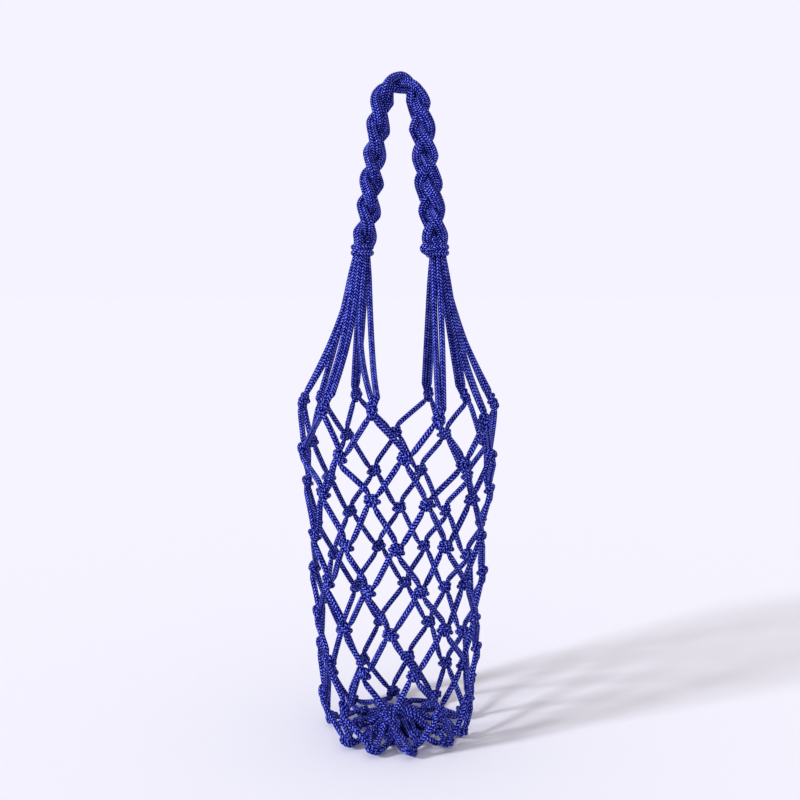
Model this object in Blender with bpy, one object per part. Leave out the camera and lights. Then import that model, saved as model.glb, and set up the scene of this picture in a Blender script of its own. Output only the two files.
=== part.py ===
"""Knotted cord carrier for a tumbler: a diamond net of round braided cord that stands on its foot,
with ten pairs of leg cords gathered at two wrapped collars and carried over in a plaited handle.

Ten long cords make the whole bag. Each one starts at the ring under the foot, climbs the net in a
zigzag, runs up as a leg, over the handle and down the other side. Here each long cord is three
pieces, two net cords and one handle cord, parted at the line where the handle folds.
Units are metres, +Z is up, -Y is the front, and the origin is on the ground under the foot's centre.
"""

import math

import bmesh
import bpy
import numpy as np
from mathutils import Vector

MM = 0.001

# Cord and the gap that touching pieces keep
CORD_DIAMETER = 3.0 * MM
GAP = 0.35 * MM

# Net: ten columns of knots, eight rows on the wall, one at the foot's edge and one under the foot
RIM_ROW_RADIUS = 50.8 * MM
FOOT_ROW_RADIUS = 40.0 * MM
RIM_ROW_HEIGHT = 173.2 * MM
FOOT_ROW_HEIGHT = 23.4 * MM
EDGE_ROW_RADIUS = 36.0 * MM

# Handle: collars on two arms that lean together into a narrow arch
ARM_SPREAD = 19.0 * MM
COLLAR_HEIGHT = 251.8 * MM
ARCH_HEIGHT = 333.6 * MM

# Proportions of the cord where it is knotted, plaited, gathered or wrapped
KNOT_SWELL_SHARE = 1.43
KNOT_LENGTH_SHARE = 2.75
KNOT_BELLY_SHARE = 1.15
KNOT_ROLL = math.radians(30)
PLAIT_CORD_SHARE = 0.62
PLAIT_WIDTH_SHARE = 1.3
PLAIT_DEPTH_SHARE = 0.97
GATHERED_CORD_SHARE = 0.68
NECK_CORD_SHARE = 0.5
PACK_SHARE = 1.45
WRAP_FLAT_SHARE = 0.6
WRAP_SLACK_SHARE = 1.4
BEAD_SHARE = 1.6
BEAD_PROUD_SHARE = 0.5
FOLD_DOME_SHARE = 1.06
FOLD_DROP_SHARE = 1.1
FOLD_SLACK_SHARE = 1.5

# Net pattern
WALL_ROWS = 8
COLUMNS = 10
COLUMN_STEP = 2 * math.pi / COLUMNS
FIRST_COLUMN = math.radians(-86)
ROW_TWIST = math.radians(1.4)
WALL_CURVE = 1.2
EDGE_TILT = math.radians(50)
BASE_TILT = math.radians(90)

# How far each hand-tied knot sits round from its even place, in shares of a column step
KNOT_TURN_SHARES = (
    (-0.44, 0.18, 0.01, 0.00, -0.06, 0.27, 0.11, -0.14, 0.17, -0.06),
    (-0.31, -0.03, 0.04, 0.05, -0.10, 0.00, 0.06, 0.00, -0.06, -0.10),
    (-0.10, 0.06, 0.05, -0.06, -0.15, -0.03, 0.00, 0.05, -0.05, -0.03),
    (0.13, 0.08, -0.01, -0.15, -0.19, -0.08, 0.03, 0.00, 0.04, 0.06),
    (0.05, 0.09, 0.01, -0.05, -0.12, -0.25, -0.06, 0.02, -0.03, 0.05),
    (-0.08, 0.02, -0.05, 0.00, -0.08, 0.00, 0.04, -0.04, 0.03, 0.00),
    (-0.01, 0.00, -0.06, -0.06, 0.08, 0.05, 0.00, -0.05, 0.04, 0.00),
    (0.04, -0.02, -0.01, 0.03, -0.08, 0.00, 0.03, -0.04, 0.02, 0.00),
    (0.10, 0.44, 0.15, -0.03, -0.08, -0.45, -0.35, -0.25, -0.15, 0.00),
    (0.05, 0.10, 0.02, -0.05, -0.12, -0.12, -0.06, 0.00, 0.00, 0.00),
)

# How far each knot sits above its row, in shares of a row step: the front right hangs lower
KNOT_LIFT_SHARES = (
    (0.03, 0.15, 0.12, -0.10, -0.24, 0.00, 0.00, 0.00, 0.00, 0.00),
    (-0.02, 0.05, 0.08, -0.12, -0.10, 0.00, 0.00, 0.00, 0.00, 0.00),
    (0.10, 0.12, 0.12, 0.02, 0.00, -0.07, 0.00, 0.00, 0.00, 0.00),
)

# Leg cords: how far along the leg each ring of the cord is
LEG_STEP_SHARES = (0.0, 0.3, 0.56, 0.76, 0.9, 1.0)
LEG_PULL_SHARE = 0.42
LEG_DROP_SHARE = 0.30
LEG_TAPER_SHARE = 0.55

# Handle arms: places on one arm as shares of the arm spread and of the rise above the collar
ARM_SHARES = (
    (1.0, 0.0), (0.92, 0.105), (0.82, 0.257), (0.748, 0.402), (0.68, 0.548),
    (0.605, 0.693), (0.505, 0.827), (0.442, 0.905), (0.27, 0.978), (0.0, 1.0),
)
PLAIT_TURNS = 4
PLAIT_RINGS = 37
PLAIT_START = math.radians(90)
PLAIT_BLEND_SHARE = 0.2
LEFT_ARM_TURN = math.radians(90)
RIGHT_ARM_TURN = math.radians(30)

# Wrapped collars: two turns and the slanting step between them
WRAP_START = math.radians(10)
WRAP_CLIMB = math.radians(300)
WRAP_CLIMB_SPAN = math.radians(50)
WRAP_END = math.radians(650)
WRAP_RINGS = 27
BEAD_PLACE = math.radians(-80)

# Mesh detail
CORD_SIDES = 5
RING_SIDES = 6
RING_STEPS = 20
FINE_STEPS = 4
SPREAD_PASSES = 140
SPREAD_PACE_SHARE = 0.4
SPREAD_FLOOR_SHARE = 0.01
CURVE_STEPS = 24
BEAD_SUBDIVISIONS = 2

# Sizes that follow from those above
CORD_RADIUS = CORD_DIAMETER / 2
STRANDS = 2 * COLUMNS
ARM_CORDS = COLUMNS
WALL_HEIGHT = RIM_ROW_HEIGHT - FOOT_ROW_HEIGHT
ROW_STEP = WALL_HEIGHT / (WALL_ROWS - 1)
EDGE_ROW = WALL_ROWS
BASE_ROW = WALL_ROWS + 1
ROWS = WALL_ROWS + 2

KNOT_RADIUS = KNOT_SWELL_SHARE * CORD_RADIUS
KNOT_REACH = KNOT_RADIUS + GAP / 2
KNOT_HALF_LENGTH = KNOT_LENGTH_SHARE * CORD_RADIUS
KNOT_BELLY = KNOT_BELLY_SHARE * CORD_RADIUS
PAIR_OFFSET = CORD_RADIUS + GAP / 2
EDGE_ROW_LIFT = KNOT_RADIUS + KNOT_REACH * math.sin(KNOT_ROLL) + CORD_RADIUS * math.sin(KNOT_ROLL)
BASE_ROW_LIFT = KNOT_RADIUS * math.cos(math.pi / CORD_SIDES) + KNOT_REACH * math.sin(KNOT_ROLL)

GROUND_RING_HEIGHT = CORD_RADIUS * math.cos(math.pi / RING_SIDES)
SPOKE_END_RADIUS = STRANDS * (CORD_DIAMETER + GAP) / (2 * math.pi)
GROUND_RING_RADIUS = SPOKE_END_RADIUS - GAP - CORD_RADIUS
BASE_ROW_RADIUS = (EDGE_ROW_RADIUS + SPOKE_END_RADIUS) / 2 - CORD_RADIUS

PLAIT_CORD_RADIUS = PLAIT_CORD_SHARE * CORD_RADIUS
PLAIT_HALF_WIDTH = PLAIT_WIDTH_SHARE * CORD_DIAMETER
PLAIT_HALF_DEPTH = PLAIT_DEPTH_SHARE * CORD_DIAMETER
GATHERED_CORD_RADIUS = GATHERED_CORD_SHARE * CORD_RADIUS
NECK_CORD_RADIUS = NECK_CORD_SHARE * CORD_RADIUS

WRAP_HALF_HEIGHT = CORD_RADIUS
WRAP_HALF_DEPTH = WRAP_FLAT_SHARE * CORD_RADIUS
WRAP_STEP = CORD_DIAMETER + WRAP_SLACK_SHARE * GAP
COLLAR_HALF_HEIGHT = WRAP_STEP / 2 + WRAP_HALF_HEIGHT


def bundle_radius(cord_radius):
    """Radius of the circle on which the eight outer cords of a gathered bundle lie."""
    return PACK_SHARE * (2 * cord_radius + GAP)


NECK_REACH = bundle_radius(NECK_CORD_RADIUS) + NECK_CORD_RADIUS
WRAP_RADIUS = NECK_REACH + GAP + WRAP_HALF_DEPTH
STUB_REACH = bundle_radius(GATHERED_CORD_RADIUS) + GATHERED_CORD_RADIUS
DOME_RADIUS = FOLD_DOME_SHARE * STUB_REACH
FOLD_HEIGHT = COLLAR_HEIGHT - COLLAR_HALF_HEIGHT - FOLD_DROP_SHARE * STUB_REACH
LEG_TOP_HEIGHT = FOLD_HEIGHT - DOME_RADIUS - FOLD_SLACK_SHARE * GAP


def cord_material(name, colour, roughness):
    """A plain polyester cord finish."""
    material = bpy.data.materials.new(name)
    material.use_nodes = True
    shader = material.node_tree.nodes["Principled BSDF"]
    shader.inputs["Base Color"].default_value = (*colour, 1.0)
    shader.inputs["Roughness"].default_value = roughness
    shader.inputs["Metallic"].default_value = 0.0
    return material


def unit(vector):
    return vector / np.linalg.norm(vector)


def mesh_object(name, verts, faces, material):
    """A closed mesh object, smooth except at its cut ends."""
    mesh = bpy.data.meshes.new(name)
    mesh.from_pydata([tuple(v) for v in verts], [], faces)
    mesh.materials.append(material)
    mesh.shade_smooth()
    mesh.set_sharp_from_angle(angle=math.radians(75))
    obj = bpy.data.objects.new(name, mesh)
    bpy.context.scene.collection.objects.link(obj)
    return obj


def tube(name, rings, sides, material, closed=False):
    """A cord along rings of (centre, half size outward, half size across, outward direction).
    A flat side of the section faces outward, and nothing reaches below the ground."""
    centres = [ring[0] for ring in rings]
    count = len(rings)
    verts = []
    for i, (centre, half_out, half_across, outward) in enumerate(rings):
        ahead = centres[(i + 1) % count] if closed or i + 1 < count else centres[i]
        behind = centres[i - 1] if closed or i > 0 else centres[i]
        along = unit(ahead - behind)
        out = unit(outward - np.dot(outward, along) * along)
        across = np.cross(along, out)
        for k in range(sides):
            angle = (k + 0.5) * 2 * math.pi / sides
            point = centre + half_out * math.cos(angle) * out + half_across * math.sin(angle) * across
            verts.append((point[0], point[1], max(point[2], 0.0)))
    faces = []
    for i in range(count if closed else count - 1):
        a = i * sides
        b = ((i + 1) % count) * sides
        for k in range(sides):
            n = (k + 1) % sides
            faces.append((a + k, a + n, b + n, b + k))
    if not closed:
        faces.append(tuple(reversed(range(sides))))
        faces.append(tuple(range((count - 1) * sides, count * sides)))
    return mesh_object(name, verts, faces, material)


def spread_apart(paths, radii, held):
    """Pushes the cords of a bundle apart until they keep the gap, and leaves held points alone."""
    cords, points = radii.shape
    steps = (points - 1) * FINE_STEPS + 1
    place = np.linspace(0, points - 1, steps)
    low = np.minimum(place.astype(int), points - 2)
    weights = np.zeros((steps, points))
    weights[np.arange(steps), low] = 1 - (place - low)
    weights[np.arange(steps), low + 1] += place - low
    free = (~held)[:, :, None]
    for _ in range(SPREAD_PASSES):
        fine = np.einsum("sp,cpx->csx", weights, paths)
        size = radii @ weights.T
        push = np.zeros_like(fine)
        hits = np.zeros((cords, steps))
        for i in range(cords):
            for j in range(i + 1, cords):
                apart = fine[i][:, None] - fine[j][None]
                distance = np.maximum(np.linalg.norm(apart, axis=2), SPREAD_FLOOR_SHARE * CORD_RADIUS)
                lack = size[i][:, None] + size[j][None] + GAP - distance
                lack = np.maximum(lack, 0.0)
                move = apart * (lack / distance)[:, :, None] / 2
                strongest = lack.argmax(axis=1)
                push[i] += move[np.arange(steps), strongest]
                hits[i] += lack[np.arange(steps), strongest] > 0
                strongest = lack.argmax(axis=0)
                push[j] -= move[strongest, np.arange(steps)]
                hits[j] += lack[strongest, np.arange(steps)] > 0
        shift = np.einsum("sp,csx->cpx", weights, push)
        load = np.einsum("sp,cs->cp", weights, np.minimum(hits, 1.0))
        paths = paths + free * SPREAD_PACE_SHARE * shift / np.maximum(load, 0.5)[:, :, None]
    return paths


def wall_radius(height):
    """Radius of the knots' circle at a height on the wall: the net narrows to the foot in a slight curve."""
    rise = max(height - FOOT_ROW_HEIGHT, 0.0) / WALL_HEIGHT
    return FOOT_ROW_RADIUS + (RIM_ROW_RADIUS - FOOT_ROW_RADIUS) * rise ** WALL_CURVE


def knot_azimuth(row, column):
    """Angle of a knot round the net, from the front towards +X. Every second row is half a step on."""
    even = FIRST_COLUMN + (column + 0.5 * (row % 2)) * COLUMN_STEP - row * ROW_TWIST
    return even + KNOT_TURN_SHARES[row][column] * COLUMN_STEP


def knot_frame(row, column):
    """Centre of a knot and its directions across (round the net), up the net, and out of the net."""
    azimuth = knot_azimuth(row, column)
    radial = np.array((math.sin(azimuth), -math.cos(azimuth), 0.0))
    across = np.array((math.cos(azimuth), math.sin(azimuth), 0.0))
    upright = np.array((0.0, 0.0, 1.0))
    if row < WALL_ROWS:
        lift = KNOT_LIFT_SHARES[row][column] if row < len(KNOT_LIFT_SHARES) else 0.0
        height = RIM_ROW_HEIGHT - (row - lift) * ROW_STEP
        radius = wall_radius(RIM_ROW_HEIGHT - row * ROW_STEP)
        tilt = 0.0
    elif row == EDGE_ROW:
        height = EDGE_ROW_LIFT
        radius = EDGE_ROW_RADIUS
        tilt = EDGE_TILT
    else:
        height = BASE_ROW_LIFT
        radius = BASE_ROW_RADIUS
        tilt = BASE_TILT
    centre = radius * radial + height * upright
    up = math.sin(tilt) * radial + math.cos(tilt) * upright
    out = math.cos(tilt) * radial - math.sin(tilt) * upright
    return centre, across, up, out


def knot_side(strand, row):
    """Which knot a strand meets in a row, and on which side of it: -1 is left, 1 is right."""
    if row % 2:
        return strand // 2, (-1 if strand % 2 == 0 else 1)
    return (strand + 1) // 2 % COLUMNS, (1 if strand % 2 == 0 else -1)


def knot_rings(strand, row):
    """A strand's half of a knot: it swells beside its partner, one lying proud and one lying under."""
    column, side = knot_side(strand, row)
    centre, across, up, out = knot_frame(row, column)
    proud = side * (1 if row % 2 == 0 else -1)
    belly = side * KNOT_REACH * math.cos(KNOT_ROLL) * across + proud * KNOT_REACH * math.sin(KNOT_ROLL) * out
    beside = side * PAIR_OFFSET * across
    return [
        (centre + KNOT_HALF_LENGTH * up + beside, CORD_RADIUS, CORD_RADIUS, out),
        (centre + KNOT_BELLY * up + belly, KNOT_RADIUS, KNOT_RADIUS, out),
        (centre - KNOT_BELLY * up + belly, KNOT_RADIUS, KNOT_RADIUS, out),
        (centre - KNOT_HALF_LENGTH * up + beside, CORD_RADIUS, CORD_RADIUS, out),
    ]


def spoke_ring(strand):
    """Where a strand meets the ground ring: the twenty strands end evenly round it."""
    step = 2 * math.pi / STRANDS
    azimuth = FIRST_COLUMN - BASE_ROW * ROW_TWIST + (strand + 0.5) * step
    radial = np.array((math.sin(azimuth), -math.cos(azimuth), 0.0))
    centre = SPOKE_END_RADIUS * radial + np.array((0.0, 0.0, CORD_RADIUS))
    return (centre, CORD_RADIUS, CORD_RADIUS, np.array((0.0, 0.0, -1.0)))


def smooth_curve(points):
    """A dense smooth curve through hand-chosen points, by Catmull-Rom."""
    points = [np.array(p) for p in points]
    padded = [2 * points[0] - points[1], *points, 2 * points[-1] - points[-2]]
    curve = []
    for a, b, c, d in zip(padded, padded[1:], padded[2:], padded[3:]):
        for k in range(CURVE_STEPS):
            t = k / CURVE_STEPS
            curve.append(0.5 * (2 * b + (c - a) * t + (2 * a - 5 * b + 4 * c - d) * t ** 2
                                + (3 * b - a - 3 * c + d) * t ** 3))
    curve.append(points[-1])
    return np.array(curve)


def handle_centreline():
    """The handle's centre curve from the left arm's foot, over the arch, to the right arm's foot."""
    rise = ARCH_HEIGHT - COLLAR_HEIGHT
    arm = [(ARM_SPREAD * x, 0.0, COLLAR_HEIGHT + rise * z) for x, z in ARM_SHARES]
    foot = (ARM_SPREAD, 0.0, LEG_TOP_HEIGHT)
    right = [foot, *arm]
    left = [(-x, y, z) for x, y, z in right]
    return smooth_curve(left + right[-2::-1])


HANDLE_LINE = handle_centreline()
HANDLE_RUN = np.concatenate(([0.0], np.cumsum(np.linalg.norm(np.diff(HANDLE_LINE, axis=0), axis=1))))
HANDLE_LENGTH = float(HANDLE_RUN[-1])
ARM_FOOT_RUN = COLLAR_HEIGHT - LEG_TOP_HEIGHT
NECK_LOW_RUN = ARM_FOOT_RUN - COLLAR_HALF_HEIGHT - GAP
NECK_HIGH_RUN = ARM_FOOT_RUN + COLLAR_HALF_HEIGHT + GAP
STUB_TOP_RUN = NECK_LOW_RUN - CORD_RADIUS
PLAIT_RUN = NECK_HIGH_RUN + CORD_DIAMETER


def handle_frame(run):
    """Point on the handle's centre curve and the two directions of its section, turned along the way."""
    step = CORD_RADIUS
    point = np.array([np.interp(run, HANDLE_RUN, HANDLE_LINE[:, i]) for i in range(3)])
    ahead = np.array([np.interp(run + step, HANDLE_RUN, HANDLE_LINE[:, i]) for i in range(3)])
    behind = np.array([np.interp(run - step, HANDLE_RUN, HANDLE_LINE[:, i]) for i in range(3)])
    along = unit(ahead - behind)
    flat = np.array((0.0, 1.0, 0.0))
    wide = np.cross(flat, along)
    share = min(max((run - PLAIT_RUN) / (HANDLE_LENGTH - 2 * PLAIT_RUN), 0.0), 1.0)
    turn = LEFT_ARM_TURN + (RIGHT_ARM_TURN - LEFT_ARM_TURN) * share
    first = math.cos(turn) * wide + math.sin(turn) * flat
    second = math.cos(turn) * flat - math.sin(turn) * wide
    return point, first, second


def bundle_slots(cord_radius):
    """Places of the ten cords in a round bundle: four, three and three make the plait's strands."""
    outer = bundle_radius(cord_radius)
    inner = cord_radius + GAP / 2
    angles = [math.radians(a) for a in (22.5, -22.5, 67.5, -67.5, -112.5, -157.5, 112.5, 157.5)]
    ring = [np.array((outer * math.cos(a), outer * math.sin(a))) for a in angles]
    return ring[:4] + ring[4:6] + [np.array((0.0, -inner))] + ring[6:] + [np.array((0.0, inner))]


def strand_offsets(cord_radius):
    """Places of the cords inside the three plaited strands, round each strand's own centre."""
    pitch = 2 * cord_radius + GAP
    square = [np.array((x, y)) * pitch / 2 for x, y in ((1, 1), (1, -1), (-1, 1), (-1, -1))]
    spoke = pitch / math.sqrt(3)
    low = [np.array((math.cos(a), -math.sin(a))) * spoke for a in map(math.radians, (85, 205, 325))]
    high = [np.array((x, -y)) for x, y in low]
    return square + low + high


STRAND_OF_CORD = (0, 0, 0, 0, 1, 1, 1, 2, 2, 2)


def plait_place(cord, share):
    """A handle cord's place in the section at a share of the plait's length."""
    pack = bundle_slots(PLAIT_CORD_RADIUS)[cord]
    phase = PLAIT_START + 2 * math.pi * (PLAIT_TURNS * share + STRAND_OF_CORD[cord] / 3)
    centre = np.array((PLAIT_HALF_WIDTH * math.sin(phase), -PLAIT_HALF_DEPTH * math.sin(2 * phase)))
    woven = centre + strand_offsets(PLAIT_CORD_RADIUS)[cord]
    near_end = min(share, 1 - share) * PLAIT_TURNS / PLAIT_BLEND_SHARE
    ease = min(near_end, 1.0)
    ease = ease * ease * (3 - 2 * ease)
    return (1 - ease) * pack + ease * woven


def stub_run(cord):
    """How far up from the arm's foot a handle cord ends, so that the bundle's end is a rounded dome
    about the fold line. The two arms' sections are turned differently, so each has its own answer."""
    runs = []
    for run in (0.0, HANDLE_LENGTH):
        _, first, second = handle_frame(run)
        place = bundle_slots(GATHERED_CORD_RADIUS)[cord]
        offset = place[0] * first + place[1] * second
        aside = abs(offset[1]) + GATHERED_CORD_RADIUS
        drop = math.sqrt(max(DOME_RADIUS ** 2 - aside ** 2, 0.0))
        runs.append(FOLD_HEIGHT - drop - LEG_TOP_HEIGHT)
    return runs


def handle_cords(material):
    """The ten handle cords, gathered at both collars and plaited between them."""
    plait = np.linspace(PLAIT_RUN, HANDLE_LENGTH - PLAIT_RUN, PLAIT_RINGS)
    paths = []
    sizes = []
    for cord in range(ARM_CORDS):
        left, right = stub_run(cord)
        low = [(left, GATHERED_CORD_RADIUS), (STUB_TOP_RUN, GATHERED_CORD_RADIUS),
               (NECK_LOW_RUN, NECK_CORD_RADIUS), (NECK_HIGH_RUN, NECK_CORD_RADIUS)]
        high = [(right, GATHERED_CORD_RADIUS), *low[1:]]
        path = []
        size = []
        for run, radius in low:
            point, first, second = handle_frame(run)
            place = bundle_slots(radius)[cord]
            path.append(point + place[0] * first + place[1] * second)
            size.append(radius)
        for run in plait:
            point, first, second = handle_frame(run)
            place = plait_place(cord, (run - plait[0]) / (plait[-1] - plait[0]))
            path.append(point + place[0] * first + place[1] * second)
            size.append(PLAIT_CORD_RADIUS)
        for run, radius in reversed(high):
            point, first, second = handle_frame(HANDLE_LENGTH - run)
            place = bundle_slots(radius)[cord]
            path.append(point + place[0] * first + place[1] * second)
            size.append(radius)
        paths.append(path)
        sizes.append(size)
    paths = np.array(paths)
    sizes = np.array(sizes)
    held = np.zeros(sizes.shape, bool)
    held[:, :4] = True
    held[:, -4:] = True
    paths = spread_apart(paths, sizes, held)
    cords = []
    for cord in range(ARM_CORDS):
        outward = np.array((0.0, 1.0, 0.0))
        rings = [(p, r, r, outward) for p, r in zip(paths[cord], sizes[cord])]
        cords.append(tube(f"handle_cord_{cord + 1:02d}", rings, CORD_SIDES, material))
    return cords


def leg_slots(side):
    """World places of the ten slots where leg cords meet the handle cords on one arm (-1 left, 1 right),
    ordered from the inner front round the outside to the inner back, with the two inner slots midway."""
    run = 0.0 if side < 0 else HANDLE_LENGTH
    point, first, second = handle_frame(run)
    places = [point + p[0] * first + p[1] * second for p in bundle_slots(GATHERED_CORD_RADIUS)]
    middle = [i for i, p in enumerate(places) if np.linalg.norm(p - point) < GATHERED_CORD_RADIUS * 2]
    outer = [i for i in range(ARM_CORDS) if i not in middle]

    def turn(i):
        x, y, _ = places[i] - point
        return (math.atan2(side * x, -y) + math.pi / 2) % (2 * math.pi)

    outer.sort(key=turn)
    middle.sort(key=lambda i: -places[i][1])
    middle.reverse()
    order = outer[:4] + middle + outer[4:]
    return [places[i] for i in order]


def leg_cords(side):
    """Rings of the ten leg cords of one side, from the top down to each strand's first knot."""
    strands = []
    for strand in range(STRANDS):
        column, _ = knot_side(strand, 0)
        if side * math.sin(knot_azimuth(0, column)) > 0:
            strands.append(strand)
    foot = {s: knot_rings(s, 0)[0][0] for s in strands}

    def turn(strand):
        x, y, _ = foot[strand]
        return (math.atan2(side * x, -y)) % (2 * math.pi)

    strands.sort(key=turn)
    paths = []
    sizes = []
    for strand, top in zip(strands, leg_slots(side)):
        bottom = foot[strand]
        reach = np.linalg.norm(top - bottom)
        low = bottom + LEG_PULL_SHARE * (top - bottom)
        high = top - np.array((0.0, 0.0, LEG_DROP_SHARE * reach))
        path = []
        size = []
        for t in LEG_STEP_SHARES:
            u = 1 - t
            path.append(u ** 3 * bottom + 3 * u * u * t * low + 3 * u * t * t * high + t ** 3 * top)
            gather = max(t - LEG_TAPER_SHARE, 0.0) / (1 - LEG_TAPER_SHARE)
            size.append(CORD_RADIUS + (GATHERED_CORD_RADIUS - CORD_RADIUS) * gather)
        paths.append(path)
        sizes.append(size)
    held = np.zeros((len(strands), len(LEG_STEP_SHARES)), bool)
    held[:, 0] = True
    held[:, -1] = True
    paths = spread_apart(np.array(paths), np.array(sizes), held)
    legs = {}
    for strand, path, size in zip(strands, paths, sizes):
        azimuth = math.atan2(path[0][0], -path[0][1])
        outward = np.array((math.sin(azimuth), -math.cos(azimuth), 0.0))
        rings = [(p, r, r, outward) for p, r in zip(path, size)]
        legs[strand] = rings[:0:-1]
    return legs


def net_cords(material):
    """The twenty net cords, each a leg, a zigzag down the wall and a spoke under the foot."""
    legs = {**leg_cords(-1), **leg_cords(1)}
    cords = []
    for strand in range(STRANDS):
        rings = list(legs[strand])
        for row in range(ROWS):
            rings += knot_rings(strand, row)
        rings.append(spoke_ring(strand))
        cords.append(tube(f"net_cord_{strand + 1:02d}", rings, CORD_SIDES, material))
    return cords


def ground_ring(material):
    """The ring of cord under the foot that all strands are hitched to."""
    rings = []
    for i in range(RING_STEPS):
        azimuth = i * 2 * math.pi / RING_STEPS
        centre = np.array((GROUND_RING_RADIUS * math.sin(azimuth), -GROUND_RING_RADIUS * math.cos(azimuth),
                           GROUND_RING_HEIGHT))
        rings.append((centre, CORD_RADIUS, CORD_RADIUS, np.array((0.0, 0.0, -1.0))))
    return tube("base_ring", rings, RING_SIDES, material, closed=True)


def wrap(name, side, material):
    """A collar: a cord wound twice round the neck of the bundle, with one slanting step between turns."""
    centre = np.array((side * ARM_SPREAD, 0.0, COLLAR_HEIGHT))
    rings = []
    for angle in np.linspace(WRAP_START, WRAP_END, WRAP_RINGS):
        climb = min(max((angle - WRAP_CLIMB) / WRAP_CLIMB_SPAN, 0.0), 1.0)
        height = WRAP_STEP * (climb * climb * (3 - 2 * climb) - 0.5)
        radial = np.array((math.sin(angle), -math.cos(angle), 0.0))
        point = centre + WRAP_RADIUS * radial + np.array((0.0, 0.0, height))
        rings.append((point, WRAP_HALF_DEPTH, WRAP_HALF_HEIGHT, radial))
    return tube(name, rings, RING_SIDES, material)


def tied_bead(collar, side, material):
    """The tied-off end of the right collar: a small round knot standing out of its side."""
    radius = BEAD_SHARE * CORD_RADIUS
    reach = WRAP_RADIUS + BEAD_PROUD_SHARE * radius
    centre = Vector((side * ARM_SPREAD + reach * math.sin(BEAD_PLACE), -reach * math.cos(BEAD_PLACE),
                     COLLAR_HEIGHT))
    mesh = bpy.data.meshes.new("bead")
    shape = bmesh.new()
    bmesh.ops.create_icosphere(shape, subdivisions=BEAD_SUBDIVISIONS, radius=radius)
    bmesh.ops.translate(shape, verts=shape.verts, vec=centre)
    shape.to_mesh(mesh)
    shape.free()
    mesh.materials.append(material)
    bead = bpy.data.objects.new("bead_shape", mesh)
    bpy.context.scene.collection.objects.link(bead)
    bead.hide_render = True
    bead.display_type = "WIRE"
    join = collar.modifiers.new("bead", "BOOLEAN")
    join.operation = "UNION"
    join.solver = "EXACT"
    join.object = bead


def main():
    for obj in list(bpy.data.objects):
        bpy.data.objects.remove(obj)
    cord = cord_material("blue_cord", (0.022, 0.024, 0.42), 0.5)
    net_cords(cord)
    ground_ring(cord)
    carried = handle_cords(cord)
    carried.append(wrap("left_wrap", -1, cord))
    right = wrap("right_wrap", 1, cord)
    tied_bead(right, 1, cord)
    carried.append(right)
    fold = bpy.data.objects.new("handle_fold", None)
    fold.location = (0.0, 0.0, FOLD_HEIGHT)
    bpy.context.scene.collection.objects.link(fold)
    for obj in carried:
        obj.parent = fold
        obj.location = (0.0, 0.0, -FOLD_HEIGHT)


main()
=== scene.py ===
"""Knotted cord carrier bag: twenty strands tied into a diamond net with double overhand knots, legs
gathered at two wrapped collars and plaited over into a handle.

Units are metres in the scene. The cord routes are worked out in millimetres, as paths of points with
a radius at each point, and become tubes at the end.
"""

import math

import bpy
import numpy as np
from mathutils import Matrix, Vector


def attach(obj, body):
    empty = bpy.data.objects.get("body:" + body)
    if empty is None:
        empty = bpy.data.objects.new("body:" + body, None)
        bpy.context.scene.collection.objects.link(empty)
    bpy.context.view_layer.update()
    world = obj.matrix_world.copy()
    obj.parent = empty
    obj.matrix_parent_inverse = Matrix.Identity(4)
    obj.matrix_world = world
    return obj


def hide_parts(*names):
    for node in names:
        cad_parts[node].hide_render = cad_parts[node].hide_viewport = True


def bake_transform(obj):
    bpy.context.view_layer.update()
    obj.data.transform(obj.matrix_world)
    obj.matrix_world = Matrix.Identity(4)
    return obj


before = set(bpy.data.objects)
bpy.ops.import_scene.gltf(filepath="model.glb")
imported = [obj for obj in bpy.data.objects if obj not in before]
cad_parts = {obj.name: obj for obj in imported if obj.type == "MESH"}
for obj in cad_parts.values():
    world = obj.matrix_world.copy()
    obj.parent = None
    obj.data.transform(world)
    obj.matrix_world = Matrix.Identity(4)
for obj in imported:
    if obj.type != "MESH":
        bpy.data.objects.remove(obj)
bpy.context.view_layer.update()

MM = 0.001
CORD_RADIUS = 1.5
UPRIGHT = np.array((0.0, 0.0, 1.0))

# Net pattern, as in the part: columns of knots round the bag and rows down the wall, foot and base
COLUMNS = 10
STRANDS = 2 * COLUMNS
WALL_ROWS = 8
EDGE_ROW = 8
BASE_ROW = 9
ROWS = 10
COLUMN_STEP = 2 * math.pi / COLUMNS
FIRST_COLUMN = math.radians(-86)
ROW_TWIST = math.radians(1.4)
RIM_RADIUS = 50.8
FOOT_RADIUS = 40.0
RIM_HEIGHT = 173.2
FOOT_HEIGHT = 23.4
EDGE_RADIUS = 36.0
EDGE_HEIGHT = 4.3
EDGE_TILT = math.radians(50)
BASE_RADIUS = 21.8
BASE_HEIGHT = 4.0
BASE_TILT = math.radians(90)
WALL_CURVE = 1.2
ROW_STEP = (RIM_HEIGHT - FOOT_HEIGHT) / (WALL_ROWS - 1)

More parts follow.
